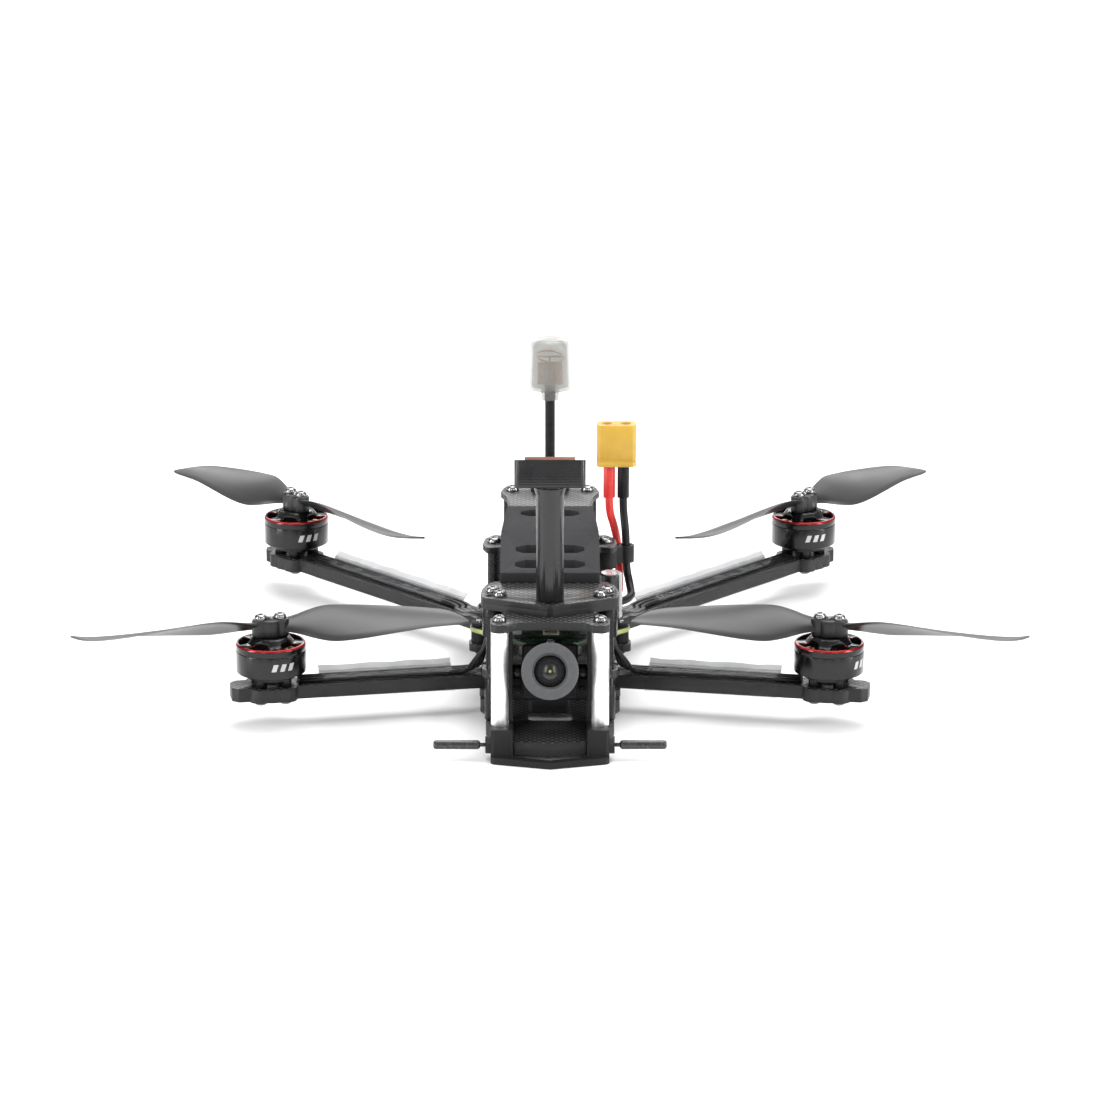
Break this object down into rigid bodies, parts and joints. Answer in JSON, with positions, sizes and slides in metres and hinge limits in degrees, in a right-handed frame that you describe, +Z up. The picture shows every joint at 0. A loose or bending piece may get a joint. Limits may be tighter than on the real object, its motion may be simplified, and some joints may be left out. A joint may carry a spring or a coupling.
{
  "type": "quadcopter drone",
  "caption": "Camera quadcopter with a stacked carbon frame, swept arms, a tilting nose camera, a positioning receiver on a mast, a tail antenna and a battery deck.",
  "frame": {"origin": "on the ground under the middle of the drone, on its plane of symmetry and midway between the front and rear motors", "axes": "+Z up, -Y towards the nose and its camera, +X towards the drone's own left"},
  "size_m": [0.2442, 0.1956, 0.0807],
  "materials": {
    "carbon": "woven carbon fibre laminate, satin",
    "printed_rubber": "matt printed flexible plastic",
    "pad_foam": "grippy matt sheet",
    "steel": "bright screw steel",
    "pillar_metal": "polished",
    "black_metal": "black anodised",
    "copper": "enamelled copper windings",
    "blade": "translucent smoked plastic",
    "board": "solder-masked circuit board",
    "chips": "moulded chips and plated connectors",
    "soft_black": "matt rubber",
    "red_rubber": "soft silicone",
    "capacitor_sleeve": "printed shrink sleeve",
    "ceramic": "ceramic patch over a shielded board",
    "clear": "clear plastic",
    "yellow_plastic": "moulded nylon",
    "camera_black": "moulded, matt",
    "lens": "coated glass"
  },
  "bodies": {
    "frame": {"antenna_cap": "clear", "antenna_element": "copper", "antenna_holder": "printed_rubber", "antenna_stem": "soft_black", "arm_front_left": "carbon", "arm_front_right": "carbon", "arm_rear_left": "carbon", "arm_rear_right": "carbon", "battery_pad": "pad_foam", "bearings": "steel", "board_grommets": "soft_black", "board_parts": "chips", "bottom_plate": "carbon", "bumper": "printed_rubber", "camera_plate": "carbon", "camera_side_left": "carbon", "camera_side_right": "carbon", "capacitor": "capacitor_sleeve", "flight_controller": "board", "frame_screws": "steel", "front_pillars": "pillar_metal", "front_plate": "carbon", "gps_mast": "printed_rubber", "gps_module": "ceramic", "knurled_columns": "black_metal", "lead_black": "soft_black", "lead_clip": "printed_rubber", "lead_red": "red_rubber", "lower_plate": "carbon", "mid_plate": "carbon", "motor_bases": "black_metal", "motor_screws": "steel", "motor_wires": "soft_black", "plate_spacers": "black_metal", "power_connector": "yellow_plastic", "receiver_antenna": "soft_black", "shrink_black": "soft_black", "shrink_red": "red_rubber", "stack_plate": "carbon", "stators": "copper", "top_plate": "carbon", "video_board": "board", "wire_sleeves": "clear"},
    "camera": {"camera_housing": "camera_black", "camera_ring": "camera_black", "camera_lens": "lens", "camera_screws": "steel"},
    "rotor_front_right": {"bell_front_right": "black_metal", "propeller_front_right": "blade", "rotor_fasteners_front_right": "steel"},
    "rotor_front_left": {"bell_front_left": "black_metal", "propeller_front_left": "blade", "rotor_fasteners_front_left": "steel"},
    "rotor_rear_right": {"bell_rear_right": "black_metal", "propeller_rear_right": "blade", "rotor_fasteners_rear_right": "steel"},
    "rotor_rear_left": {"bell_rear_left": "black_metal", "propeller_rear_left": "blade", "rotor_fasteners_rear_left": "steel"}
  },
  "joints": [
    {"name": "camera_tilt", "type": "hinge", "parent": "frame", "child": "camera", "pos_m": [0, -0.0807, 0.02015], "axis": [-1, 0, 0], "range_deg": [-18, 8]},
    {"name": "spin_front_right", "type": "hinge", "parent": "frame", "child": "rotor_front_right", "pos_m": [-0.0715, -0.06, 0.02], "axis": [0, 0, 1], "continuous": true},
    {"name": "spin_front_left", "type": "hinge", "parent": "frame", "child": "rotor_front_left", "pos_m": [0.0715, -0.06, 0.02], "axis": [0, 0, 1], "continuous": true},
    {"name": "spin_rear_right", "type": "hinge", "parent": "frame", "child": "rotor_rear_right", "pos_m": [-0.0715, 0.06, 0.02], "axis": [0, 0, 1], "continuous": true},
    {"name": "spin_rear_left", "type": "hinge", "parent": "frame", "child": "rotor_rear_left", "pos_m": [0.0715, 0.06, 0.02], "axis": [0, 0, 1], "continuous": true}
  ]
}
